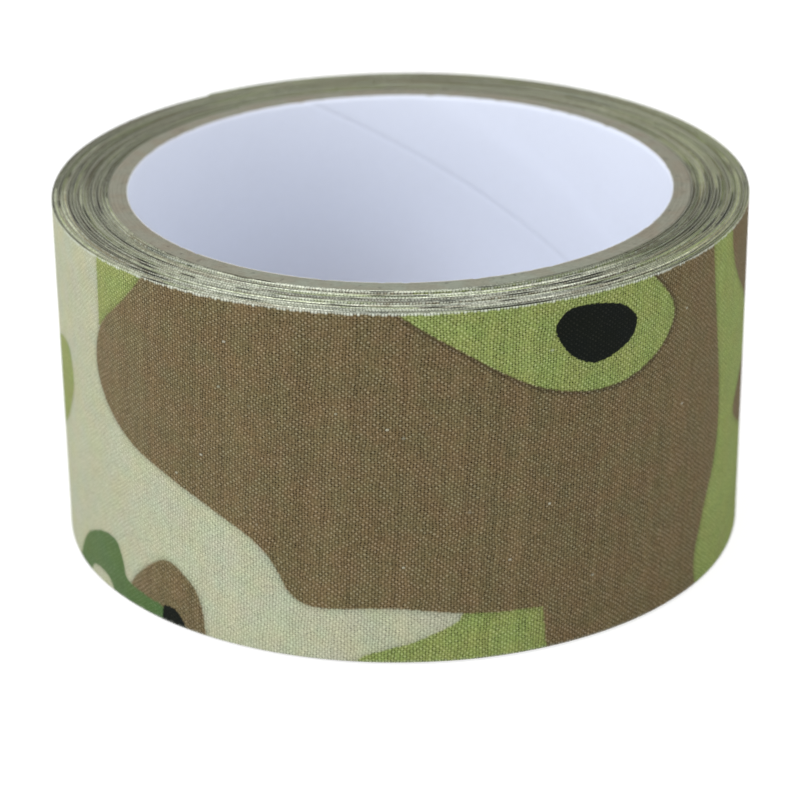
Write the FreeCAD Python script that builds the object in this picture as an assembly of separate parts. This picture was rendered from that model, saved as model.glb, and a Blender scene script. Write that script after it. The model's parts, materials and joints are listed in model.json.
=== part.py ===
"""A roll of printed woven cloth tape on a spiral-wound paper core.

The roll stands on one end with its axis upright.  The origin is on that axis, in
the plane the roll stands on, and +Z points up along the bore.  Every length is in
millimetres and every angle in degrees.

The core is five paper plies, each a strip wound as a right-handed helix whose
edges meet in a butt seam.  The tape is one strip of cotton cloth with a layer of
adhesive on its inner face, wound anticlockwise (seen from above) in whole turns.
Each half turn is a semicircle, and the two centres used in turn make the strip
climb by its own thickness every turn, so a layer lies exactly on the one below.
The last stretch of the outer turn is the free end.  It is cut into short
segments that hinge on one another, so it can be peeled away from the roll.
"""

import FreeCAD
import Part
import math
import os

from FreeCAD import Vector

os.makedirs("parts", exist_ok=True)

# Driving dimensions of the roll.
TAPE_WIDTH = 50.0
BORE_RADIUS = 38.1
TURNS = 18
CLOTH_THICKNESS = 0.32
ADHESIVE_THICKNESS = 0.12

# Paper core, from the bore outwards.
LINER_THICKNESS = 0.20
KRAFT_PLY_THICKNESS = 0.60
KRAFT_PLY_NAMES = ("core_inner_ply", "core_second_ply", "core_third_ply", "core_outer_ply")
PLY_STRIP_WIDTH = 118.0
SEAM_GAP = 0.40
LINER_SEAM_ANGLE_AT_BASE = -22.0
SEAM_STAGGER = 75.0

# Free end of the tape.
STRIP_END_ANGLE = 126.0
LEAD_SEGMENTS = 12
LEAD_SEGMENT_ANGLE = 6.0
LEAD_CLEARANCE = 0.03

# Sizes that follow from the ones above.
TAPE_THICKNESS = CLOTH_THICKNESS + ADHESIVE_THICKNESS
CORE_RADIUS = BORE_RADIUS + LINER_THICKNESS + KRAFT_PLY_THICKNESS * len(KRAFT_PLY_NAMES)
HALF_TURNS = 2 * TURNS
LEAD_START_ANGLE = STRIP_END_ANGLE - LEAD_SEGMENTS * LEAD_SEGMENT_ANGLE

UP = Vector(0, 0, 1)


def polar(radius, angle, centre=Vector(0, 0, 0)):
    """A point at this distance and direction from a centre, in the base plane."""
    turn = math.radians(angle)
    return centre + Vector(radius * math.cos(turn), radius * math.sin(turn), 0)


def arc(centre, radius, start_angle, end_angle):
    """An anticlockwise arc in the base plane."""
    circle = Part.Circle(centre, UP, radius)
    return Part.ArcOfCircle(circle, math.radians(start_angle), math.radians(end_angle)).toShape()


def save(name, shape):
    """Writes one node, and stops if its solid is not sound."""
    if not shape.isValid() or shape.Volume <= 0:
        raise RuntimeError(name + " is not a sound solid")
    shape.exportStep(os.path.join("parts", name + ".step"))


# ---- Paper core -------------------------------------------------------------


def helix_rise(radius):
    """How far a ply climbs in one turn when its edges just meet."""
    winding_angle = math.asin(PLY_STRIP_WIDTH / (2 * math.pi * radius))
    return PLY_STRIP_WIDTH / math.cos(winding_angle)


def seam_cutter(inner_radius, outer_radius, angle_at_base):
    """The thin helical slot between the two edges of a ply."""
    overrun = 4.0
    skin = 0.05
    rise = helix_rise(inner_radius)
    path = Part.makeHelix(rise, TAPE_WIDTH + 2 * overrun, inner_radius)
    half_gap = SEAM_GAP / 2
    corners = [
        Vector(inner_radius - skin, 0, -half_gap),
        Vector(outer_radius + skin, 0, -half_gap),
        Vector(outer_radius + skin, 0, half_gap),
        Vector(inner_radius - skin, 0, half_gap),
    ]
    section = Part.makePolygon(corners + corners[:1])
    cutter = Part.Wire(path.Edges).makePipeShell([section], True, True)
    cutter.translate(Vector(0, 0, -overrun))
    cutter.rotate(Vector(0, 0, 0), UP, angle_at_base - 360 * overrun / rise)
    return cutter


def core_ply(inner_radius, thickness, angle_at_base):
    """One paper ply: a tube, open along its helical butt seam."""
    outer_radius = inner_radius + thickness
    tube = Part.makeCylinder(outer_radius, TAPE_WIDTH).cut(Part.makeCylinder(inner_radius, TAPE_WIDTH))
    return tube.cut(seam_cutter(inner_radius, outer_radius, angle_at_base))


def build_core():
    """The white liner ply, then the kraft plies, each with its seam turned on."""
    save("core_bore_liner", core_ply(BORE_RADIUS, LINER_THICKNESS, LINER_SEAM_ANGLE_AT_BASE))
    for number, name in enumerate(KRAFT_PLY_NAMES):
        inner_radius = BORE_RADIUS + LINER_THICKNESS + number * KRAFT_PLY_THICKNESS
        angle = LINER_SEAM_ANGLE_AT_BASE + SEAM_STAGGER * (number + 1)
        save(name, core_ply(inner_radius, KRAFT_PLY_THICKNESS, angle))


# ---- Wound tape -------------------------------------------------------------


def half_turn_centre(number):
    """Even half turns share the roll's axis; odd ones sit half a layer off it."""
    return Vector(0, 0, 0) if number % 2 == 0 else polar(TAPE_THICKNESS / 2, STRIP_END_ANGLE)


def half_turn_radius(number):
    """Radius of the inner face of the adhesive on this half turn."""
    return CORE_RADIUS + number * TAPE_THICKNESS / 2


def half_turn_angles(number):
    """Where a half turn starts and ends; the last one stops at the free end."""
    start = STRIP_END_ANGLE + 180 * (number % 2)
    end = start + 180
    if number == HALF_TURNS - 1:
        end = LEAD_START_ANGLE + 360
    return start, end


def spiral_edges(depth):
    """The spiral this far out from the adhesive's inner face, half turn by half turn."""
    edges = []
    for number in range(HALF_TURNS):
        start, end = half_turn_angles(number)
        edges.append(arc(half_turn_centre(number), half_turn_radius(number) + depth, start, end))
    return edges


def wound_layer(inner_depth, outer_depth):
    """One layer of the strip, wound from the core out to where the free end begins."""
    first_radius = half_turn_radius(0)
    last_radius = half_turn_radius(HALF_TURNS - 1)
    last_centre = half_turn_centre(HALF_TURNS - 1)
    start_edge = Part.makeLine(
        polar(first_radius + inner_depth, STRIP_END_ANGLE),
        polar(first_radius + outer_depth, STRIP_END_ANGLE),
    )
    end_edge = Part.makeLine(
        polar(last_radius + inner_depth, LEAD_START_ANGLE, last_centre),
        polar(last_radius + outer_depth, LEAD_START_ANGLE, last_centre),
    )
    inner = spiral_edges(inner_depth)
    outer = spiral_edges(outer_depth)
    outline = Part.Wire(Part.sortEdges(inner + outer + [start_edge, end_edge])[0])
    return Part.Face(outline).extrude(Vector(0, 0, TAPE_WIDTH))


def build_wound_tape():
    save("wound_adhesive", wound_layer(0, ADHESIVE_THICKNESS))
    save("wound_cloth", wound_layer(ADHESIVE_THICKNESS, TAPE_THICKNESS))


# ---- Free end ---------------------------------------------------------------


def lead_layer(start_angle, inner_depth, outer_depth):
    """One layer of one short segment of the free end."""
    centre = half_turn_centre(HALF_TURNS - 1)
    inner_radius = half_turn_radius(HALF_TURNS - 1) + inner_depth
    outer_radius = half_turn_radius(HALF_TURNS - 1) + outer_depth
    end_angle = start_angle + LEAD_SEGMENT_ANGLE
    edges = [
        arc(centre, inner_radius, start_angle, end_angle),
        Part.makeLine(polar(inner_radius, end_angle, centre), polar(outer_radius, end_angle, centre)),
        arc(centre, outer_radius, start_angle, end_angle),
        Part.makeLine(polar(outer_radius, start_angle, centre), polar(inner_radius, start_angle, centre)),
    ]
    outline = Part.Wire(Part.sortEdges(edges)[0])
    return Part.Face(outline).extrude(Vector(0, 0, TAPE_WIDTH))


def build_free_end():
    """Segments counted from the roll out to the cut end of the strip."""
    for number in range(LEAD_SEGMENTS):
        start_angle = LEAD_START_ANGLE + number * LEAD_SEGMENT_ANGLE
        label = str(number + 1)
        save("lead_adhesive_" + label, lead_layer(start_angle, LEAD_CLEARANCE, ADHESIVE_THICKNESS))
        save("lead_cloth_" + label, lead_layer(start_angle, ADHESIVE_THICKNESS, TAPE_THICKNESS))


build_core()
build_wound_tape()
build_free_end()
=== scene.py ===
import json
import math

import bpy
import numpy as np
from mathutils import Matrix, Vector


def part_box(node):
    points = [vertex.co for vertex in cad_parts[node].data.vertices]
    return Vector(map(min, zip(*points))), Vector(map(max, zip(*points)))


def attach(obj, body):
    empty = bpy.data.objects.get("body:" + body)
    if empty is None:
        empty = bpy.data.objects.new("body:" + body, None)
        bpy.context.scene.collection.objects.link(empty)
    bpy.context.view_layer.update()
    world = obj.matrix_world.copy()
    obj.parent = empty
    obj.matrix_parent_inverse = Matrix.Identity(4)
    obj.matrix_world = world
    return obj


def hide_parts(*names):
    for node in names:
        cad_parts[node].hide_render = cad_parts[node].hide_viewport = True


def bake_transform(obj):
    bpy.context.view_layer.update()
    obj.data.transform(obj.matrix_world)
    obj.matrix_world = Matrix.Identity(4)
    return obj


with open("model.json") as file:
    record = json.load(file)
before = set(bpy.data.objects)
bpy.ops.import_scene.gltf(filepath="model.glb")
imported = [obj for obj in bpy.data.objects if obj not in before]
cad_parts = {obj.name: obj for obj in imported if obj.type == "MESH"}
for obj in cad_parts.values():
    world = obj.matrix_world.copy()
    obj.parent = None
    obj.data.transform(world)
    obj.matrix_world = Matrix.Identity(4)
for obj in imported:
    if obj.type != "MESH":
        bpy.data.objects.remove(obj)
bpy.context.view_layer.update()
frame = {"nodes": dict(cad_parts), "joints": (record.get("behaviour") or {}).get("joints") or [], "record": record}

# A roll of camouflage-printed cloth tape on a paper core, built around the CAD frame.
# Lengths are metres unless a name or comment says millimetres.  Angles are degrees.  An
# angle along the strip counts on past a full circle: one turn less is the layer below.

MM = 0.001


# ---- Sizes taken from the frame ----------------------------------------------


def node_points(node):
    """The corners of a CAD node's mesh, one row each."""
    return np.array([v.co for v in frame["nodes"][node].data.vertices], float)


def reach(node):
    """The greatest distance of a CAD node from the roll's axis, and the direction it lies in."""
    points = node_points(node)
    distance = np.hypot(points[:, 0], points[:, 1])
    x, y = points[distance.argmax(), :2]
    return distance.max(), math.degrees(math.atan2(y, x))


JOINTS = frame["joints"]
SEGMENTS = len(JOINTS)
TURNS = 18
TAPE_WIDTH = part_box("wound_cloth")[1].z
BORE_RADIUS = frame["record"]["mounts"][0]["dims"]["r_mm"] * MM
LINER_RADIUS = reach("core_bore_liner")[0]
CORE_RADIUS = reach("core_outer_ply")[0]
TIP_RADIUS, END_DIRECTION = reach("lead_cloth_" + str(SEGMENTS))
LAYER = (TIP_RADIUS - CORE_RADIUS) / (TURNS + 1)
ADHESIVE = 0.27 * LAYER
LEAD_GAP = 0.07 * LAYER

STRIP_END = END_DIRECTION + 360
STRIP_START = STRIP_END - 360 * TURNS
TOWARDS_END = np.array([math.cos(math.radians(END_DIRECTION)), math.sin(math.radians(END_DIRECTION))])
OFF_CENTRE = LAYER / 2 * TOWARDS_END


def hinge_angle(joint):
    """Where a hinge stands on the outer half turn, as an angle along the strip."""
    x, y = np.array(joint["pos_m"][:2]) - OFF_CENTRE
    return math.degrees(math.atan2(y, x)) % 360 + 360


HINGE_ANGLES = [hinge_angle(joint) for joint in JOINTS]
SEGMENT_ANGLE = (STRIP_END - HINGE_ANGLES[0]) / SEGMENTS
BODY_CHAIN = ["roll"] + [joint["child"] for joint in JOINTS]


# ---- The wound strip ---------------------------------------------------------

# height in millimetres, waves per full turn wound, phase
DRIFT_WAVES = [(0.085, 0.24, 0.7), (0.060, 0.61, 2.1), (0.022, 2.37, 0.0), (0.012, 5.1, 1.3)]
SWELL = 0.012 * MM


def travelled(angle):
    """Degrees wound between the start of the strip and this angle along it."""
    return np.asarray(angle, float) - STRIP_START


def strip_length(angle):
    """Length of strip between its start and this angle, in millimetres."""
    turned = travelled(angle)
    return np.radians(turned) * (CORE_RADIUS + LAYER * turned / 720) / MM


def spiral(angle, depth):
    """Place on the strip in plan: each half turn is a semicircle about one of two centres."""
    half_turn = np.clip(np.floor(travelled(angle) / 180), 0, 2 * TURNS - 1)
    odd = half_turn % 2
    radius = CORE_RADIUS + half_turn * LAYER / 2 + depth
    turn = np.radians(angle)
    return odd * OFF_CENTRE[0] + radius * np.cos(turn), odd * OFF_CENTRE[1] + radius * np.sin(turn)


def ripple(turn, waves):
    """A sum of sine waves.  Each wave is (waves per full turn, phase)."""
    return sum(np.sin(count * turn + phase) for count, phase in waves)


def winding_drift(angle):
    """How far the strip wanders up or down as it is wound, so the ends of the roll aren't quite flat."""
    wound = np.radians(travelled(angle))
    drift = sum(height_mm * ripple(wound, [wave]) for height_mm, *wave in DRIFT_WAVES)
    return drift * MM


def swell(angle, height):
    """Slight lumpiness of the roll, the same for every layer at one place."""
    waves = [(5, 60 * height), (9, 1.0 - 110 * height), (14, 2.0 + 75 * height)]
    return SWELL * (ripple(np.radians(angle), waves) + len(waves))


# ---- Camouflage print --------------------------------------------------------

# Each patch is a closed outline of (angle along the strip, height in millimetres), drawn
# as a smooth curve through its points.  A third value marks a corner.  Patches that meet
# the edge of the tape run past it, to OVER or UNDER.
OVER = 54
UNDER = -4
CORNER = True

GREEN_BELOW = [
    # right of the large brown patch, and round to the side
    [(322, UNDER, CORNER), (322, OVER, CORNER), (357, OVER, CORNER), (364, 46), (367, 38), (361, 29),
     (363, 20), (372, 13), (378, 5), (379, UNDER, CORNER)],
    # under the foot of the large brown patch
    [(259, UNDER, CORNER), (262, 0.2), (266, 1.8), (270, 2.8), (274, 4.2), (277.8, 5.8), (281.5, 8.5),
     (300, 10, CORNER), (300, UNDER, CORNER)],
    # wedge at the upper left, with a straight print edge
    [(214.2, OVER, CORNER), (213.7, 40, CORNER), (226, 40, CORNER), (236, OVER, CORNER)],
    # left side
    [(201.2, 29), (200.5, 25.5), (196, 20.7), (189, 17), (181, 15), (173, 17), (170, 22), (174, 27),
     (184, 29), (190, 31), (195, 32.4), (199.5, 32.2)],
    # back
    [(112, UNDER, CORNER), (118, 8), (128, 14), (140, 15), (150, 11), (160, 10), (168, 6),
     (171, UNDER, CORNER)],
    [(462, OVER, CORNER), (459, 44), (464, 36), (473, 32), (482, 34), (492, 40, CORNER),
     (492, OVER, CORNER)],
    [(22, UNDER, CORNER), (30, 10), (42, 18), (55, 17), (66, 10), (74, 5), (79, UNDER, CORNER)],
]
BROWN = [
    # the large patch across the front
    [(230, OVER, CORNER), (222, 46.3), (214.5, 40.4), (212.3, 35), (214.2, 30), (220.5, 25.4), (229, 22.6),
     (238, 19.6), (246, 16), (249.4, 12.6), (251.6, 9.3), (256, 7.7), (268, 8.1), (280, 6.9),
     (291.7, 6.4, CORNER), (292.9, UNDER, CORNER), (327, UNDER, CORNER), (324.8, 3.5), (327.5, 11),
     (331.5, 18.5), (332.2, 27), (330.2, 38), (328.6, 46), (327.4, OVER, CORNER)],
    # small rounded patch at the foot, left of centre
    [(217, UNDER, CORNER), (219.5, 3.2), (224.5, 7.6), (228.6, 9.5), (232, 8.4), (235.4, 5),
     (236.9, UNDER, CORNER)],
    # right side
    [(335, OVER, CORNER), (336.8, 46), (340.5, 41.4), (346, 37.5), (352, 34), (359, 37),
     (363, OVER, CORNER)],
    [(340.6, 22), (343.5, 18.8), (349, 16.8), (357, 18), (360, 22), (356, 26), (347, 26)],
    # back
    [(384, OVER, CORNER), (386, 45), (392, 36), (402, 29), (415, 25), (426, 18), (438, 11), (452, 9),
     (465, 13), (471, 21), (467, 29), (457, 33), (449, 39), (446, 47), (447, OVER, CORNER)],
    [(465, UNDER, CORNER), (468, 3), (475, 7), (483, 7.5), (492, 5, CORNER), (492, UNDER, CORNER)],
    [(131, OVER, CORNER), (133, 46), (139, 40), (148, 37), (156, 31), (165, 28), (175, 30), (181, 36),
     (183, 43), (188, OVER, CORNER)],
    # under the free end
    [(38, OVER, CORNER), (44, 43), (54, 36), (66, 33), (77, 37), (84, 45), (88, OVER, CORNER)],
]
GREEN_ABOVE = [
    # upper patch right of centre, round the dark spot
    [(264, OVER, CORNER), (270, 49.2), (279, 44.2), (287, 39.9), (294, 37.3), (302, 36.2), (309, 37.1),
     (314.6, 40), (316.7, 43.8), (313.6, 48), (306, OVER, CORNER)],
    # back
    [(398, OVER, CORNER), (404, 46), (413, 40.5), (424, 39), (434, 42), (439, 48), (440, OVER, CORNER)],
]
DARK_GREEN = [
    # hooked patch at the foot, far left
    [(197.5, UNDER, CORNER), (200.5, 1.6), (205, 5.9), (211, 8.3), (215.4, 8.4), (217.3, 6), (218.4, 3.4),
     (223, 2.5), (228, 1.6), (231, UNDER, CORNER), (216.5, UNDER), (213.5, 0.8), (209.5, 2), (205.8, 0.8),
     (204, UNDER, CORNER)],
    # right side and back
    [(360, 33), (366, 36.5), (375, 38), (383, 36.5), (386, 32.5), (381, 29.5), (374, 31), (367, 30)],
    [(384, UNDER, CORNER), (386, 5), (393, 10.5), (401, 12), (408, 9), (408, 4), (401, 2.5),
     (397, UNDER, CORNER)],
    [(150, 32), (145, 26), (147, 19.5), (155, 16.5), (163, 18), (164, 22), (157, 22), (154, 26), (157, 32)],
    # under the free end
    [(88, 20), (94, 25.5), (102, 25), (106, 19), (100, 13), (92, 14)],
]
BLACK = [
    [(293.3, 46.2), (295.6, 48.2), (300, 48.3), (305.2, 47.2), (308.3, 44.6), (306.6, 41.7), (301, 40),
     (296.6, 41.4), (294.1, 44)],
    [(226.9, UNDER, CORNER), (227.3, 1.7), (228.8, 2.5), (231.4, 1.5), (234.5, UNDER, CORNER)],
    [(352, OVER, CORNER), (354, 48), (359, 46), (364, 48), (366, OVER, CORNER)],
    [(412, 46.5), (416, 43.6), (423, 42.6), (430, 44.4), (432, 47.5), (427, 48.8), (417, 48.8)],
    [(60, 24), (66, 27), (73, 26), (74, 22), (67, 20), (61, 21)],
    [(156, 5), (160, 7), (165, 4), (166, UNDER, CORNER), (157, UNDER, CORNER)],
]
PRINT = {
    "ink_green_below": GREEN_BELOW,
    "ink_brown": BROWN,
    "ink_green_above": GREEN_ABOVE,
    "ink_dark_green": DARK_GREEN,
    "ink_black": BLACK,
}
# The outlines cover the strip from here to its end, and repeat on the turns below.
PRINT_START = 30
# Distances to an outline are worked out up to this far from it.
FAR_MM = 3.0


def smooth_outline(patch, steps=8):
    """Points along the closed curve of a patch, in millimetres of strip and of height."""
    knots = np.array([(strip_length(p[0]), p[1]) for p in patch])
    corner = [len(p) > 2 for p in patch]
    t = np.linspace(0, 1, steps, endpoint=False)[:, None]
    curve = []
    for i in range(len(knots)):
        j = (i + 1) % len(knots)
        here, there = knots[i], knots[j]
        before, after = knots[i - 1], knots[(j + 1) % len(knots)]
        leave = there - here if corner[i] else (there - before) / 2
        arrive = there - here if corner[j] else (after - here) / 2
        curve.append(
            (2 * t**3 - 3 * t**2 + 1) * here
            + (t**3 - 2 * t**2 + t) * leave
            + (3 * t**2 - 2 * t**3) * there
            + (t**3 - t**2) * arrive
        )
    return np.concatenate(curve)


def inside_distance(points, outline):
    """Distance to an outline, positive inside it and negative outside."""
    starts, ends = outline, np.roll(outline, -1, axis=0)
    nearest = np.full(len(points), np.inf)
    crossings = np.zeros(len(points), int)
    for a, b in zip(starts, ends):
        run = b - a
        share = np.clip(((points - a) @ run) / max(run @ run, 1e-12), 0, 1)
        gap = points - a - share[:, None] * run
        nearest = np.minimum(nearest, (gap**2).sum(1))
        spans = (a[1] > points[:, 1]) != (b[1] > points[:, 1])
        rise = b[1] - a[1] if b[1] != a[1] else 1.0
        crossings += spans & (points[:, 0] < a[0] + (points[:, 1] - a[1]) / rise * run[0])
    return np.where(crossings % 2 == 1, 1, -1) * np.sqrt(nearest)


def print_layer(patches, angle, height_mm):
    """Signed distance in millimetres from the edge of the nearest patch of one ink."""
    layer = np.full(len(angle), -FAR_MM)
    first, last = strip_length(PRINT_START), strip_length(STRIP_END)
    printed = first + (strip_length(angle) - first) % (last - first)
    points = np.column_stack([printed, height_mm])
    for patch in patches:
        outline = smooth_outline(patch)
        low, high = outline.min(0) - FAR_MM, outline.max(0) + FAR_MM
        near = ((points > low) & (points < high)).all(1)
        if near.any():
            layer[near] = np.maximum(layer[near], inside_distance(points[near], outline))
    return np.clip(layer, -FAR_MM, FAR_MM)


# ---- Mesh building -----------------------------------------------------------


def mesh_piece(name, points, faces, values, material, flat_faces=0):
    """A smooth-shaded mesh object with named numbers on its corners.  Its last few faces stay flat."""
    mesh = bpy.data.meshes.new(name)
    mesh.from_pydata(np.asarray(points).tolist(), [], faces)
    for key, value in values.items():
        layer = mesh.attributes.new(key, "FLOAT", "POINT")
        layer.data.foreach_set("value", np.asarray(value, np.float32).ravel())
    smooth = np.arange(len(faces)) < len(faces) - flat_faces
    mesh.polygons.foreach_set("use_smooth", smooth)
    mesh.materials.append(material)
    mesh.update()
    piece = bpy.data.objects.new(name, mesh)
    bpy.context.scene.collection.objects.link(piece)
    return piece


def loop_faces(columns, rows, close_columns=False):
    """Quads joining a row of closed loops, each of the same number of points."""
    faces = []
    for c in range(columns if close_columns else columns - 1):
        d = (c + 1) % columns
        for r in range(rows):
            s = (r + 1) % rows
            faces.append((c * rows + r, d * rows + r, d * rows + s, c * rows + s))
    return faces


def strip_section(inner, outer, inset, rounding, face_rows, back_rows):
    """The outline of a layer cut across: (depth, height, how squarely it faces up or down, 0 to 1)."""
    middle, half = (inner + outer) / 2, (outer - inner) / 2
    low, high = inset + rounding, TAPE_WIDTH - inset - rounding
    over = np.radians(np.arange(0, 181, 30))
    section = [(outer, h, 0.0) for h in np.linspace(low, high, face_rows + 1)[1:-1]]
    section += [(middle + half * math.cos(t), high + rounding * math.sin(t), math.sin(t)) for t in over]
    section += [(inner, h, 0.0) for h in np.linspace(high, low, back_rows + 1)[1:-1]]
    section += [(middle - half * math.cos(t), low - rounding * math.sin(t), math.sin(t)) for t in over]
    return np.array(section)


# A very narrow band of faces at each end of a piece, in degrees.  Only there does smooth
# shading turn towards the end face, so pieces that meet end to end show no line between them.
END_BAND = 0.01


def strip_piece(name, start, end, step, section, material, printed=False):
    """A stretch of one layer of the strip, between two angles along it, closed at both ends."""
    columns = np.linspace(start + END_BAND, end - END_BAND, max(2, round((end - start) / step) + 1))
    angles = np.concatenate([[start], columns, [end]])
    angle, depth = np.meshgrid(angles, section[:, 0], indexing="ij")
    height = np.broadcast_to(section[:, 1], angle.shape)
    edge = np.broadcast_to(section[:, 2], angle.shape)
    x, y = spiral(angle, depth + swell(angle, height))
    z = height + winding_drift(angle)
    points = np.stack([x, y, z], -1).reshape(-1, 3)
    values = {
        "along": strip_length(angle),
        "across": height / MM,
        "through": (depth - depth.min()) / np.ptp(depth),
        "edge": edge,
        "east": np.cos(np.radians(angle)),
        "north": np.sin(np.radians(angle)),
        "from_core": (np.hypot(x, y) - CORE_RADIUS) / MM,
    }
    if printed:
        for ink, patches in PRINT.items():
            values[ink] = print_layer(patches, angle.ravel(), height.ravel() / MM)
    rows = len(section)
    last = (len(angles) - 1) * rows
    faces = loop_faces(len(angles), rows)
    faces.append(tuple(range(rows)))
    faces.append(tuple(last + r for r in reversed(range(rows))))
    return mesh_piece(name, points, faces, values, material, flat_faces=2)


# ---- Shader building ---------------------------------------------------------


class Shader:
    """A material's node tree, with short names for the nodes the finishes below use."""

    def __init__(self, name):
        self.material = bpy.data.materials.new(name)
        self.material.use_nodes = True
        self.tree = self.material.node_tree
        self.tree.nodes.clear()

    def node(self, kind, **settings):
        made = self.tree.nodes.new("ShaderNode" + kind)
        for key, value in settings.items():
            setattr(made, key, value)
        return made

    def feed(self, socket, value):
        """Joins a socket to another node's output, or gives it a plain value."""
        if isinstance(value, bpy.types.NodeSocket):
            self.tree.links.new(value, socket)
        elif isinstance(value, tuple) and len(value) == 3 and socket.type == "RGBA":
            socket.default_value = (*value, 1.0)
        else:
            socket.default_value = value

    def math(self, operation, a, b=0.0, clamp=False):
        made = self.node("Math", operation=operation, use_clamp=clamp)
        for socket, value in zip(made.inputs, (a, b)):
            self.feed(socket, value)
        return made.outputs[0]

    def add(self, a, b):
        return self.math("ADD", a, b)

    def multiply(self, *values):
        product = values[0]
        for value in values[1:]:
            product = self.math("MULTIPLY", product, value)
        return product

    def waver(self, luck, size):
        """A number up to half of size either way, from one that lies between 0 and 1."""
        return self.multiply(self.math("SUBTRACT", luck, 0.5), size)

    def ramp(self, value, low, high, to_low=0.0, to_high=1.0):
        """A smooth step of value between low and high."""
        made = self.node("MapRange", interpolation_type="SMOOTHSTEP")
        for socket, given in zip(made.inputs, (value, low, high, to_low, to_high)):
            self.feed(socket, given)
        return made.outputs[0]

    def hump(self, value, rise, top, fall, foot):
        """1 where value lies between top and fall, and smoothly down to 0 at rise and foot."""
        return self.multiply(self.ramp(value, rise, top), self.ramp(value, fall, foot, 1.0, 0.0))

    def attribute(self, name):
        return self.node("Attribute", attribute_name=name).outputs["Fac"]

    def vector(self, x, y, z=0.0):
        made = self.node("CombineXYZ")
        for socket, value in zip(made.inputs, (x, y, z)):
            self.feed(socket, value)
        return made.outputs[0]

    def noise(self, vector, scale, detail=2.0, roughness=0.5):
        made = self.node("TexNoise")
        self.feed(made.inputs["Vector"], vector)
        self.feed(made.inputs["Scale"], scale)
        self.feed(made.inputs["Detail"], detail)
        self.feed(made.inputs["Roughness"], roughness)
        return made.outputs["Fac"]

    def scatter(self, vector):
        """A random number for each whole-number cell."""
        made = self.node("TexWhiteNoise", noise_dimensions="3D")
        self.feed(made.inputs["Vector"], vector)
        return made.outputs["Value"]

    def place(self):
        return self.node("TexCoord").outputs["Object"]

    def coordinate(self, axis):
        """One coordinate of the place: X to the right, Y to the back, Z up."""
        apart = self.node("SeparateXYZ")
        self.feed(apart.inputs[0], self.place())
        return apart.outputs[axis]

    def mix(self, share, a, b, blend="MIX"):
        made = self.node("Mix", data_type="RGBA", blend_type=blend)
        self.feed(made.inputs["Factor"], share)
        self.feed(made.inputs[6], a)
        self.feed(made.inputs[7], b)
        return made.outputs[2]

    def tint(self, share, colour, cast):
        """The colour, multiplied by a cast as far as share says."""
        return self.mix(share, colour, self.mix(1.0, colour, cast, "MULTIPLY"))

    def blend_numbers(self, share, a, b):
        return self.add(a, self.multiply(share, self.math("SUBTRACT", b, a)))

    def brighten(self, colour, factor):
        """The colour times a number."""
        made = self.node("VectorMath", operation="SCALE")
        self.feed(made.inputs[0], colour)
        self.feed(made.inputs["Scale"], factor)
        return made.outputs[0]

    def finish(self, colour, roughness, height=None, relief=0.0, specular=0.5, sheen=0.0, glow=0.0):
        surface = self.node("BsdfPrincipled")
        self.feed(surface.inputs["Base Color"], colour)
        self.feed(surface.inputs["Roughness"], roughness)
        self.feed(surface.inputs["Specular IOR Level"], specular)
        self.feed(surface.inputs["Sheen Weight"], sheen)
        self.feed(surface.inputs["Emission Color"], (1.0, 1.0, 1.0))
        self.feed(surface.inputs["Emission Strength"], glow)
        if height is not None:
            bump = self.node("Bump")
            self.feed(bump.inputs["Height"], height)
            self.feed(bump.inputs["Distance"], relief)
            self.tree.links.new(bump.outputs[0], surface.inputs["Normal"])
        output = self.node("OutputMaterial")
        self.tree.links.new(surface.outputs[0], output.inputs["Surface"])
        return self.material


# ---- Finishes ----------------------------------------------------------------

# printed inks
PALE_SAND = (0.440, 0.458, 0.328)
LIGHT_GREEN = (0.236, 0.288, 0.088)
MID_BROWN = (0.150, 0.113, 0.056)
LEAF_GREEN = (0.064, 0.134, 0.042)
NEAR_BLACK = (0.006, 0.008, 0.006)
# painted sheen: the pale haze laid over the inks on the roll's left side
SHEEN_HAZE = (0.250, 0.210, 0.130)
WORN_CROWN = (0.420, 0.400, 0.310)
# the strip's cut side
RAW_COTTON = (0.700, 0.735, 0.620)
STICKY_COTTON = (0.118, 0.125, 0.066)
# painted shade on the cut side at the roll's left and right
SIDE_SHADED_COTTON = (0.400, 0.420, 0.330)
FRAYED_END = (0.640, 0.680, 0.580)
# paper, board and adhesive
WHITE_PAPER = (0.725, 0.765, 0.868)
SHADED_PAPER = (0.735, 0.755, 0.835)
PAPER_BACK = (0.430, 0.430, 0.400)
KRAFT_BOARD = (0.254, 0.252, 0.200)
TACKY_ADHESIVE = (0.30, 0.30, 0.24)
# casts, multiplied over a colour
# painted shade on the cut side at the roll's left and right
OLIVE_CAST = (0.66, 0.665, 0.59)
LIME_CAST = (1.11, 1.13, 0.96)
ROSY_CAST = (0.98, 0.91, 0.89)
GREY_CAST = (0.97, 1.05, 1.06)
COOL_CAST = (0.97, 0.985, 1.07)
YELLOW_CAST = (1.02, 1.015, 0.91)
GREEN_CAST = (0.955, 1.02, 0.98)
RED_CAST = (1.045, 0.985, 0.98)

# spacing of the threads, measured along and across the tape, and how far the crosswise ones lean
THREAD_ALONG_MM = 0.415
THREAD_ACROSS_MM = 0.325
THREAD_LEAN = 0.052
INKS = (
    # ink, colour, how strongly the weave shows in it, darkening of what is below just outside
    # its edge, and softness of the edge in millimetres
    ("ink_green_below", LIGHT_GREEN, 1.0, 0.10, 0.20),
    ("ink_brown", MID_BROWN, 1.0, 0.16, 0.20),
    ("ink_green_above", LIGHT_GREEN, 1.0, 0.38, 0.20),
    ("ink_dark_green", LEAF_GREEN, 0.5, 0.05, 0.20),
    ("ink_black", NEAR_BLACK, 0.08, 0.0, 0.10),
)
PALE_CONTRAST = 0.72
RAGGED_MM = 0.16


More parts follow.
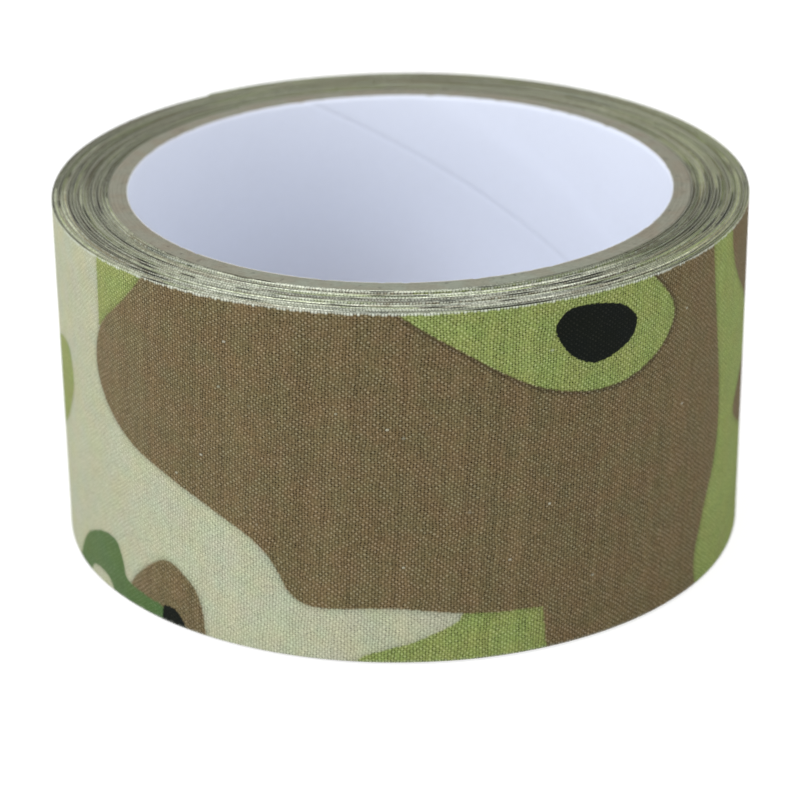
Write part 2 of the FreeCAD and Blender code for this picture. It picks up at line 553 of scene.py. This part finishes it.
def weave(s):
    """Thread counts along and across the tape, and the plain weave's chequer of raised threads."""
    along = s.attribute("along")
    across = s.attribute("across")
    leaning = s.math("SUBTRACT", along, s.multiply(across, THREAD_LEAN))
    wander = s.noise(s.vector(along, across), 0.35, 2.0)
    column = s.add(s.multiply(leaning, 1 / THREAD_ALONG_MM), s.multiply(wander, 1.8))
    sway = s.noise(s.vector(across, along, 7.0), 0.30, 2.0)
    row = s.add(s.multiply(across, 1 / THREAD_ACROSS_MM), s.multiply(sway, 2.2))
    raised = s.multiply(
        s.math("SINE", s.multiply(column, math.pi)),
        s.math("SINE", s.multiply(row, math.pi)),
    )
    twist = s.math("COSINE", s.multiply(s.add(column, row), math.pi))
    chequer = s.math("SUBTRACT", raised, s.multiply(twist, 0.22))
    return column, row, chequer


def printed_colour(s, ragged):
    """The inks laid over the pale ground one after another, with a painted sheen on the left side, and how
    strongly the weave shows.
    """
    colour = PALE_SAND
    contrast = PALE_CONTRAST
    for ink, ink_colour, ink_contrast, overlap, softness in INKS:
        inside = s.add(s.attribute(ink), ragged)
        just_outside = s.hump(inside, -1.00, -0.25, 0.0, 0.25)
        colour = s.brighten(colour, s.math("SUBTRACT", 1.0, s.multiply(just_outside, overlap)))
        share = s.ramp(inside, -softness, softness)
        colour = s.mix(share, colour, ink_colour)
        contrast = s.blend_numbers(share, contrast, ink_contrast)
    # Painted sheen: a pale haze over the inks towards the roll's left side.
    left_sheen_haze = s.ramp(s.attribute("east"), -0.92, -0.55, 0.14, 0.0)
    colour = s.mix(s.multiply(left_sheen_haze, s.ramp(contrast, 0.15, 0.50)), colour, SHEEN_HAZE)
    sideways = s.math("ABSOLUTE", s.attribute("east"))
    return colour, s.multiply(contrast, s.ramp(sideways, 0.60, 0.96, 1.0, 0.74))


def woven_tone(s, column, row, chequer, contrast):
    """Brightness of the weave: a painted highlight on the raised threads, painted shade in the dips and pits
    between them, and uneven yarn.
    """
    along, across = s.attribute("along"), s.attribute("across")
    column_number, row_number = s.math("FLOOR", column), s.math("FLOOR", row)
    luck = s.scatter(s.vector(column_number, row_number))
    crown = s.ramp(chequer, 0.10, 1.05)
    valley = s.ramp(chequer, -0.95, -0.05, 1.0, 0.0)
    between = s.math("COSINE", s.multiply(column, 2 * math.pi))
    crossing = s.multiply(
        s.math("COSINE", s.multiply(column, math.pi)),
        s.math("COSINE", s.multiply(row, math.pi)),
    )
    corner = s.vector(s.math("ROUND", column), s.math("ROUND", row), 5.0)
    pit_depth = s.add(0.25, s.multiply(s.scatter(corner), 1.5))
    pit = s.multiply(s.ramp(s.math("ABSOLUTE", crossing), 0.35, 1.0), pit_depth)
    thread_luck = s.scatter(s.vector(column_number, 0.0, 3.0))
    slub = s.noise(s.vector(s.multiply(column_number, 7.3), s.multiply(across, 0.45), 1.0), 1.0, 2.0)
    streaks = s.add(s.waver(thread_luck, 0.17), s.waver(slub, 0.20))
    grain = s.noise(s.vector(along, across, 3.0), 3.2, 2.0)
    mottle = s.noise(s.vector(along, across, 9.0), 0.16, 3.0)

    # Painted highlight on the raised threads; painted shade in the valleys, in the pits where threads cross and in
    # the gaps between threads.
    tone = s.multiply(crown, s.add(0.10, s.multiply(luck, 0.44)))
    tone = s.add(tone, s.multiply(valley, -0.18))
    tone = s.add(tone, s.multiply(pit, -0.42))
    tone = s.add(tone, s.multiply(between, -0.12))
    tone = s.add(tone, s.multiply(streaks, s.ramp(contrast, 0.5, 1.0)))
    tone = s.add(tone, s.waver(grain, 0.80))
    tone = s.add(1.0, s.multiply(contrast, tone))
    tone = s.add(tone, s.waver(mottle, 0.15))
    return tone, luck, crown, valley, between


def fray_share(s, column, width_mm):
    """How far the thread ends along the tape's edges show through the ink."""
    across = s.attribute("across")
    from_edge = s.math("MINIMUM", across, s.math("SUBTRACT", width_mm, across))
    end_luck = s.scatter(s.vector(s.math("FLOOR", column), 0.0, 7.0))
    full = s.add(0.12, s.multiply(end_luck, 0.10))
    none = s.add(0.32, s.multiply(end_luck, 0.25))
    fringe = s.ramp(from_edge, full, none, 1.0, 0.0)
    towards_top = s.ramp(across, 0.0, width_mm, 0.25, 1.0)
    return s.multiply(fringe, towards_top, s.add(0.45, s.multiply(end_luck, 0.5)))


def round_noise(s, cells_round, cells_per_mm, seed):
    """Noise that runs round the roll's cut side and changes quickly from turn to turn."""
    east = s.multiply(s.attribute("east"), cells_round)
    north = s.add(s.multiply(s.attribute("north"), cells_round), seed)
    outward = s.multiply(s.attribute("from_core"), cells_per_mm)
    return s.noise(s.vector(east, north, outward), 1.0, 2.0)


def along_noise(s, cells_per_mm, seed):
    """Noise that changes slowly along the strip, so that each turn differs from the next."""
    return s.noise(s.vector(s.attribute("along"), seed), cells_per_mm, 2.0)


def cut_edge_colour(s, ink, column):
    """The strip's cut side: pale thread ends outward, sticky and darker inward, stained in places, with painted
    shade at the roll's sides and painted light at its front.
    """
    north, east = s.attribute("north"), s.attribute("east")
    # The roll's left and right sides, where the cut side gets painted shade.
    flank = s.ramp(s.math("ABSOLUTE", north), 0.50, 1.0, 1.0, 0.0)
    end_luck = s.scatter(s.vector(s.math("FLOOR", s.multiply(column, 2.0)), 0.0, 9.0))
    raw = s.mix(s.ramp(s.attribute("through"), 0.20, 0.75), STICKY_COTTON, RAW_COTTON)
    raw = s.mix(s.multiply(flank, 0.62), raw, SIDE_SHADED_COTTON)
    raw = s.brighten(raw, s.add(0.58, s.multiply(end_luck, 0.80)))
    stain = s.ramp(along_noise(s, 0.07, 0.0), 0.42, 0.62, 0.05, 0.60)
    colour = s.mix(stain, raw, s.brighten(ink, 1.15))
    colour = s.tint(flank, colour, OLIVE_CAST)
    colour = s.tint(s.ramp(east, 0.50, 0.95), colour, LIME_CAST)

    cloud = s.ramp(along_noise(s, 0.030, 5.0), 0.30, 0.70, 0.74, 1.05)
    line = s.ramp(along_noise(s, 0.045, 11.0), 0.40, 0.60, 1.12, 0.66)
    line = s.blend_numbers(s.multiply(flank, 0.40), line, 0.92)
    group = s.ramp(round_noise(s, 1.4, 0.85, 11.0), 0.40, 0.60, 0.56, 1.10)
    band = s.ramp(round_noise(s, 1.1, 1.05, 41.0), 0.43, 0.57, 0.33, 1.50)
    band = s.blend_numbers(s.multiply(flank, 0.90), 1.0, band)
    # Short dark dashes round the roll and dark streaks along the strip darken the cut side in places.
    dark_dashes = s.ramp(round_noise(s, 5.0, 1.1, 23.0), 0.62, 0.68)
    streak = s.ramp(along_noise(s, 0.055, 23.0), 0.60, 0.65)
    undarkened = s.math("SUBTRACT", 1.0, s.multiply(s.math("MAXIMUM", dark_dashes, streak), 0.84))
    # Painted shade in the gaps between thread ends.
    gap = s.ramp(s.math("COSINE", s.multiply(column, 2 * math.pi)), 0.2, 1.0, 1.0, 0.80)
    pattern = s.multiply(cloud, line, group, band, undarkened, gap)

    matted = s.ramp(north, -0.35, 0.40, 0.0, 0.75)
    # Painted light on the cut side at the front of the roll, painted shade round the rest.
    front = s.ramp(north, -1.0, -0.80, 1.07, 0.92)
    beside_core = s.ramp(s.attribute("from_core"), 0.30, 0.90, 0.70, 1.0)
    tone = s.multiply(s.blend_numbers(matted, pattern, 0.64), front, beside_core, 1.15)
    return s.brighten(colour, tone)


def cloth_finish():
    """Printed cotton: inked outer face, raw cotton at the cut edges."""
    s = Shader("printed_cotton")
    column, row, chequer = weave(s)
    along, across = s.attribute("along"), s.attribute("across")
    cell = s.vector(s.math("FLOOR", column), s.math("FLOOR", row))
    ink, contrast = printed_colour(s, s.waver(s.scatter(cell), RAGGED_MM))
    tone, luck, crown, valley, between = woven_tone(s, column, row, chequer, contrast)

    inked = s.brighten(ink, tone)
    rubbed = s.multiply(crown, contrast, s.add(0.02, s.multiply(luck, 0.30)))
    inked = s.mix(rubbed, inked, WORN_CROWN)
    nep_cell = s.vector(s.math("FLOOR", column), s.math("FLOOR", row), 21.0)
    nep = s.ramp(s.scatter(nep_cell), 0.9997, 0.9999)
    inked = s.mix(s.multiply(nep, contrast, 0.35), inked, FRAYED_END)
    yellow = s.ramp(s.noise(s.vector(along, across, 15.0), 0.20, 3.0), 0.30, 0.70)
    red = s.ramp(s.noise(s.vector(along, across, 31.0), 0.26, 3.0), 0.30, 0.70)
    in_pale = s.math("SUBTRACT", 1.2, contrast, clamp=True)
    inked = s.tint(in_pale, inked, s.mix(yellow, COOL_CAST, YELLOW_CAST))
    inked = s.tint(contrast, inked, s.mix(red, GREEN_CAST, RED_CAST))

    # Painted shade darkens the frayed ends in the gaps between threads.
    fray = s.brighten(FRAYED_END, s.ramp(between, -0.2, 0.9, 1.0, 0.42))
    outer = s.mix(fray_share(s, column, TAPE_WIDTH / MM), inked, fray)
    edge = s.ramp(s.attribute("edge"), 0.15, 0.60)
    colour = s.mix(edge, outer, cut_edge_colour(s, ink, column))
    height = s.add(crown, s.multiply(valley, 0.45))
    return s.finish(colour, 0.90, height, 0.04 * MM, specular=0.06, sheen=0.04)


def adhesive_finish():
    """Dull cream tacky layer, embossed by the weave below it."""
    s = Shader("natural_adhesive")
    chequer = weave(s)[2]
    cloud = s.noise(s.place(), 260.0, 4.0)
    colour = s.brighten(TACKY_ADHESIVE, s.add(0.80, s.multiply(cloud, 0.30)))
    return s.finish(colour, 0.42, chequer, 0.02 * MM, specular=0.4)


def liner_finish():
    """Smooth bluish-white paper with faint fibres, with painted shade along its lap and low down on the left, and
    painted light beside the lap, beside the paper joint and low down on the right.
    """
    s = Shader("white_liner_paper")
    fibres = s.noise(s.place(), 900.0, 5.0, 0.6)
    cloud = s.noise(s.place(), 60.0, 2.0)
    from_lap = s.attribute("from_lap")
    tone = s.add(0.955, s.add(s.multiply(fibres, 0.05), s.multiply(cloud, 0.04)))
    # Painted shade along the lap's step, a painted highlight beside its raised edge, and a band of painted light
    # beside the paper joint.
    tone = s.add(tone, s.multiply(s.hump(from_lap, -1.80, -0.20, 0.0, 0.60), -0.055))
    tone = s.add(tone, s.multiply(s.hump(from_lap, 0.05, 0.40, 0.7, 1.8), 0.03))
    tone = s.add(tone, s.multiply(s.hump(from_lap, -27.0, -22.0, -21.0, -14.0), 0.03))
    # Low down in the bore: painted shade on the left and painted light on the right.
    low_down = s.ramp(s.coordinate("Z"), 0.25 * TAPE_WIDTH, 0.65 * TAPE_WIDTH, 1.0, 0.0)
    rightward = s.ramp(s.coordinate("X"), -0.3 * BORE_RADIUS, 0.6 * BORE_RADIUS)
    tone = s.multiply(tone, s.blend_numbers(low_down, 1.0, s.blend_numbers(rightward, 0.93, 1.05)))
    shaded = s.multiply(low_down, s.math("SUBTRACT", 1.0, rightward))
    paper = s.mix(shaded, WHITE_PAPER, SHADED_PAPER)
    paper = s.mix(s.ramp(s.attribute("through"), 0.05, 0.45), paper, PAPER_BACK)
    return s.finish(s.brighten(paper, tone), 0.75, fibres, 0.012 * MM, specular=0.15)


def board_finish(name, seed):
    """Grey-brown kraft board: fine fibres, flecks, a rosy cast here and there, and greyer and a little brighter
    towards the front.
    """
    s = Shader(name)
    place = s.place()
    fibres = s.noise(place, 1400.0, 5.0, 0.65)
    cloud = s.noise(s.vector(s.noise(place, 90.0), s.noise(place, 300.0), seed), 3.0, 2.0)
    fleck = s.ramp(s.noise(place, 800.0, 1.0), 0.66, 0.74)
    rosy = s.ramp(s.noise(place, 260.0, 2.0), 0.42, 0.62)
    # Towards the front of the roll the board is greyer and a little brighter.
    front = s.ramp(s.coordinate("Y"), -BORE_RADIUS, -0.7 * BORE_RADIUS, 1.0, 0.0)
    colour = s.tint(rosy, KRAFT_BOARD, ROSY_CAST)
    colour = s.tint(front, colour, GREY_CAST)
    tone = s.add(0.66, s.add(s.multiply(fibres, 0.50), s.multiply(cloud, 0.16)))
    tone = s.add(tone, s.multiply(fleck, -0.30))
    tone = s.multiply(tone, s.ramp(front, 0.0, 1.0, 0.94, 1.0))
    return s.finish(s.brighten(colour, tone), 0.92, fibres, 0.05 * MM, specular=0.08)


CLOTH = cloth_finish()
GLUE = adhesive_finish()
LINER = liner_finish()


# ---- Joining the frame -------------------------------------------------------


def join_frame(piece, node, body="roll"):
    """Lets a piece move with a body and stand in for a CAD node."""
    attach(piece, body)
    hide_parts(node)


# ---- Paper core --------------------------------------------------------------

BOARD_CORNER = 0.012 * MM
BOARD_SINK = 0.05 * MM
BOARD_SINK_STEP = 0.004 * MM
BOARD_UNEVEN = 0.008 * MM
PLY_FILL = 0.998

# the liner's seam: height gained for each length round the bore, and where it meets the bottom
SEAM_SLOPE = 0.566
SEAM_ANGLE_AT_BASE = -22.0
LAP_HEIGHT = 0.08 * MM
LAP_FADE = 16.0 * MM
LAP_EDGE = np.array([0, 0.03, 0.08, 0.18, 0.34, 0.60]) * MM
LAP_GAP = 0.01 * MM
JOINT_FROM_LAP = 25.0 * MM
JOINT_HEIGHT = 0.05 * MM
JOINT_WIDTH = 2.0 * MM
TORN_DEPTH = 0.05 * MM
LINER_COLUMNS = 520
LINER_ROWS = 60


def core_ring(name, inner, outer, sink, seed, material):
    """One board ply: a tube whose cut ends are a little uneven."""
    around = np.radians(np.arange(0, 360, 0.75))
    soft = BOARD_CORNER
    # distance from the axis, share of the height, and the corners' lift
    section = [
        (outer, 0.5, 0), (outer, 1.0, -soft), (outer - soft, 1.0, 0), (inner + soft, 1.0, 0),
        (inner, 1.0, -soft), (inner, 0.5, 0), (inner, 0.0, soft), (inner + soft, 0.0, 0),
        (outer - soft, 0.0, 0), (outer, 0.0, soft),
    ]
    angle, radius = np.meshgrid(around, [p[0] for p in section], indexing="ij")
    share = np.broadcast_to([p[1] for p in section], angle.shape)
    lift = np.broadcast_to([p[2] for p in section], angle.shape)
    uneven = BOARD_UNEVEN * ripple(angle, [(7, seed), (17, 2 * seed), (41, 3 * seed)])
    ends = np.where(share > 0.75, -sink + uneven, np.where(share < 0.25, sink - uneven, 0.0))
    z = share * TAPE_WIDTH + ends + lift
    points = np.stack([radius * np.cos(angle), radius * np.sin(angle), z], -1).reshape(-1, 3)
    faces = loop_faces(len(around), len(section), close_columns=True)
    return mesh_piece(name, points, faces, {}, material)


def build_core():
    """The board plies.  Every other one ends a little lower, so that the plies can be told apart."""
    plies = ["inner_ply", "second_ply", "third_ply", "outer_ply"]
    thickness = (CORE_RADIUS - LINER_RADIUS) / len(plies)
    for number, ply in enumerate(plies):
        inner = LINER_RADIUS + number * thickness
        outer = inner + thickness * PLY_FILL
        sink = BOARD_SINK + BOARD_SINK_STEP * (number % 2)
        finish = board_finish("kraft_board_" + str(number + 1), 5.0 * number)
        ring = core_ring("board_" + ply, inner, outer, sink, 0.4 * number, finish)
        join_frame(ring, "core_" + ply)


def build_liner():
    """White paper lining the bore: a helical strip whose edge laps over itself and shows as a step."""
    turn = 2 * math.pi * BORE_RADIUS
    beyond_edge = np.linspace(LAP_EDGE[-1], turn - LAP_GAP, LINER_COLUMNS)[1:]
    steps = np.concatenate([LAP_EDGE, beyond_edge])
    fading = (1 - np.clip(steps / LAP_FADE, 0, 1)) ** 2
    rounded = np.sqrt(1 - (1 - np.clip(steps / LAP_EDGE[-1], 0, 1)) ** 2)
    from_joint = (steps - (turn - JOINT_FROM_LAP)) / JOINT_WIDTH
    raised = LAP_HEIGHT * fading * rounded + JOINT_HEIGHT * np.exp(-(from_joint**2))

    s, h = np.meshgrid(steps, np.linspace(TAPE_WIDTH, 0, LINER_ROWS), indexing="ij")
    angle = math.radians(SEAM_ANGLE_AT_BASE) + (h / SEAM_SLOPE + s) / BORE_RADIUS
    radius = BORE_RADIUS - np.broadcast_to(raised[:, None], s.shape)
    torn = ripple(angle[:, 0], [(23, 0.0), (61, 1.0), (157, 2.0), (71, 0.0)])
    h[:, 0] -= TORN_DEPTH * np.clip(torn - 0.6, 0, None)
    # the back of the paper, in the opposite order, closes each column into a loop
    radius = np.concatenate([radius, np.full_like(radius, LINER_RADIUS)], 1)
    angle = np.concatenate([angle, angle[:, ::-1]], 1)
    h = np.concatenate([h, h[:, ::-1]], 1)
    points = np.stack([radius * np.cos(angle), radius * np.sin(angle), h], -1).reshape(-1, 3)

    from_lap = np.where(steps > turn / 2, steps - turn, steps) / MM
    values = {
        "through": (LINER_RADIUS - radius < 0.01 * MM).astype(float),
        "from_lap": np.broadcast_to(np.clip(from_lap, -40, 40)[:, None], radius.shape),
    }
    faces = loop_faces(len(steps), 2 * LINER_ROWS)
    last = (len(steps) - 1) * 2 * LINER_ROWS
    for r in range(LINER_ROWS - 1):
        opposite = 2 * LINER_ROWS - 1 - r
        faces.append((r, r + 1, opposite - 1, opposite))
        faces.append((last + opposite, last + opposite - 1, last + r + 1, last + r))
    end_faces = 2 * (LINER_ROWS - 1)
    liner = mesh_piece("white_core_liner", points, faces, values, LINER, flat_faces=end_faces)
    join_frame(liner, "core_bore_liner")


# ---- Tape --------------------------------------------------------------------

EDGE_ROUNDING = 0.16 * MM
GLUE_ROUNDING = 0.02 * MM
ADHESIVE_INSET = 0.12 * MM
OUTER_STEP = 0.6
INNER_STEP = 1.5


def cloth_section(face_rows, back_rows):
    return strip_section(ADHESIVE, LAYER, 0, EDGE_ROUNDING, face_rows, back_rows)


def glue_section(inner, rows):
    return strip_section(inner, ADHESIVE, ADHESIVE_INSET, GLUE_ROUNDING, rows, rows)


def build_wound_tape():
    """The turns that stay on the roll.  The outer stretch carries the print in full detail."""
    lap_end = HINGE_ANGLES[0] - SEGMENT_ANGLE / 2
    outer = strip_piece(
        "cloth_outer_turn", PRINT_START, lap_end, OUTER_STEP, cloth_section(100, 4), CLOTH, printed=True
    )
    inner = strip_piece(
        "cloth_inner_turns", STRIP_START, PRINT_START, INNER_STEP, cloth_section(2, 2), CLOTH, printed=True
    )
    bond = strip_piece("adhesive_turns", STRIP_START, lap_end, INNER_STEP, glue_section(0, 2), GLUE)
    join_frame(outer, "wound_cloth")
    join_frame(inner, "wound_cloth")
    join_frame(bond, "wound_adhesive")


def build_free_layer(kind, section, material):
    """One layer of the free end, in pieces from the middle of one segment to the middle of the next."""
    half = SEGMENT_ANGLE / 2
    printed = kind == "cloth"
    for number, hinge in enumerate(HINGE_ANGLES):
        name = kind + "_" + str(number + 1)
        start, end = hinge - half, hinge + half
        piece = strip_piece("free_" + name, start, end, OUTER_STEP, section, material, printed)
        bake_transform(piece)
        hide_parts("lead_" + name)
    tip = strip_piece(
        "free_" + kind + "_tip", STRIP_END - half, STRIP_END, OUTER_STEP, section, material, printed
    )
    join_frame(tip, "lead_" + kind + "_" + str(SEGMENTS), BODY_CHAIN[-1])


def build_free_end():
    build_free_layer("cloth", cloth_section(100, 4), CLOTH)
    build_free_layer("adhesive", glue_section(LEAD_GAP, 12), GLUE)


# ---- Stage, light and camera -------------------------------------------------

FLOOR_SIZE = 8.0
FLOOR_DROP = 0.26 * MM
SKY_STRENGTH = 0.80
F_STOP = 32
FOCAL_LENGTH_MM = 129.4
CAMERA_PLACE = (-3.15 * MM, -380.4 * MM, 188.0 * MM)
TILT_DOWN = math.radians(24.30)
SWING_RIGHT = math.radians(0.43)
CAMERA_ROLL = math.radians(-0.55)


def build_stage():
    """A plain white floor and sky.  The floor glows mostly for the camera, so shadows hardly show."""
    size = FLOOR_SIZE / 2
    corners = [(-size, -size, -FLOOR_DROP), (size, -size, -FLOOR_DROP),
               (size, size, -FLOOR_DROP), (-size, size, -FLOOR_DROP)]
    mesh = bpy.data.meshes.new("floor")
    mesh.from_pydata(corners, [], [(0, 1, 2, 3)])
    s = Shader("white_floor")
    seen = s.node("LightPath").outputs["Is Camera Ray"]
    tone = s.blend_numbers(seen, 0.60, 0.40)
    glow = s.blend_numbers(seen, 0.06, 0.78)
    mesh.materials.append(s.finish(s.vector(tone, tone, tone), 0.9, specular=0.0, glow=glow))
    floor = bpy.data.objects.new("floor", mesh)
    bpy.context.scene.collection.objects.link(floor)

    world = bpy.data.worlds.new("studio")
    world.use_nodes = True
    sky = world.node_tree.nodes["Background"].inputs
    sky["Color"].default_value = (1, 1, 1, 1)
    sky["Strength"].default_value = SKY_STRENGTH
    bpy.context.scene.world = world


def soft_light(name, place, target, size, power):
    """A round lamp that faces a target."""
    lamp = bpy.data.lights.new(name, "AREA")
    lamp.shape = "DISK"
    lamp.size = size
    lamp.energy = power
    light = bpy.data.objects.new(name, lamp)
    light.location = place
    light.rotation_euler = (Vector(target) - Vector(place)).to_track_quat("-Z", "Y").to_euler()
    bpy.context.scene.collection.objects.link(light)


def build_lights():
    middle = (0, 0, TAPE_WIDTH / 2)
    soft_light("key", (-0.60, -0.30, 0.75), middle, 0.6, 5.0)
    soft_light("right_fill", (0.80, -0.45, 0.12), middle, 0.7, 2.6)
    soft_light("left_fill", (-0.64, -0.62, 0.10), middle, 0.7, 1.7)


def build_focus(camera, reach_out):
    """A point on the roll's near side, wherever the camera stands, for the lens to focus on."""
    centre = bpy.data.objects.new("roll_centre", None)
    centre.location = (0, 0, TAPE_WIDTH / 2)
    focus = bpy.data.objects.new("focus", None)
    for empty in (centre, focus):
        bpy.context.scene.collection.objects.link(empty)
    follow = focus.constraints.new("COPY_LOCATION")
    follow.target = camera
    hold = focus.constraints.new("LIMIT_DISTANCE")
    hold.target = centre
    hold.distance = reach_out
    camera.data.dof.use_dof = True
    camera.data.dof.focus_object = focus
    camera.data.dof.aperture_fstop = F_STOP


def build_camera():
    """Looks down on the roll from the front, from about 0.4 metres away."""
    lens = bpy.data.cameras.new("camera")
    lens.sensor_width = 36
    lens.lens = FOCAL_LENGTH_MM
    lens.clip_start = 0.01
    camera = bpy.data.objects.new("camera", lens)
    camera.location = CAMERA_PLACE
    view = Vector((
        math.sin(SWING_RIGHT) * math.cos(TILT_DOWN),
        math.cos(SWING_RIGHT) * math.cos(TILT_DOWN),
        -math.sin(TILT_DOWN),
    ))
    turn = view.to_track_quat("-Z", "Y").to_matrix() @ Matrix.Rotation(CAMERA_ROLL, 3, "Z")
    camera.rotation_euler = turn.to_euler()
    bpy.context.scene.collection.objects.link(camera)
    bpy.context.scene.camera = camera
    build_focus(camera, TIP_RADIUS)


build_core()
build_liner()
build_wound_tape()
build_free_end()
build_stage()
build_lights()
build_camera()
bpy.context.scene.view_settings.view_transform = "Standard"
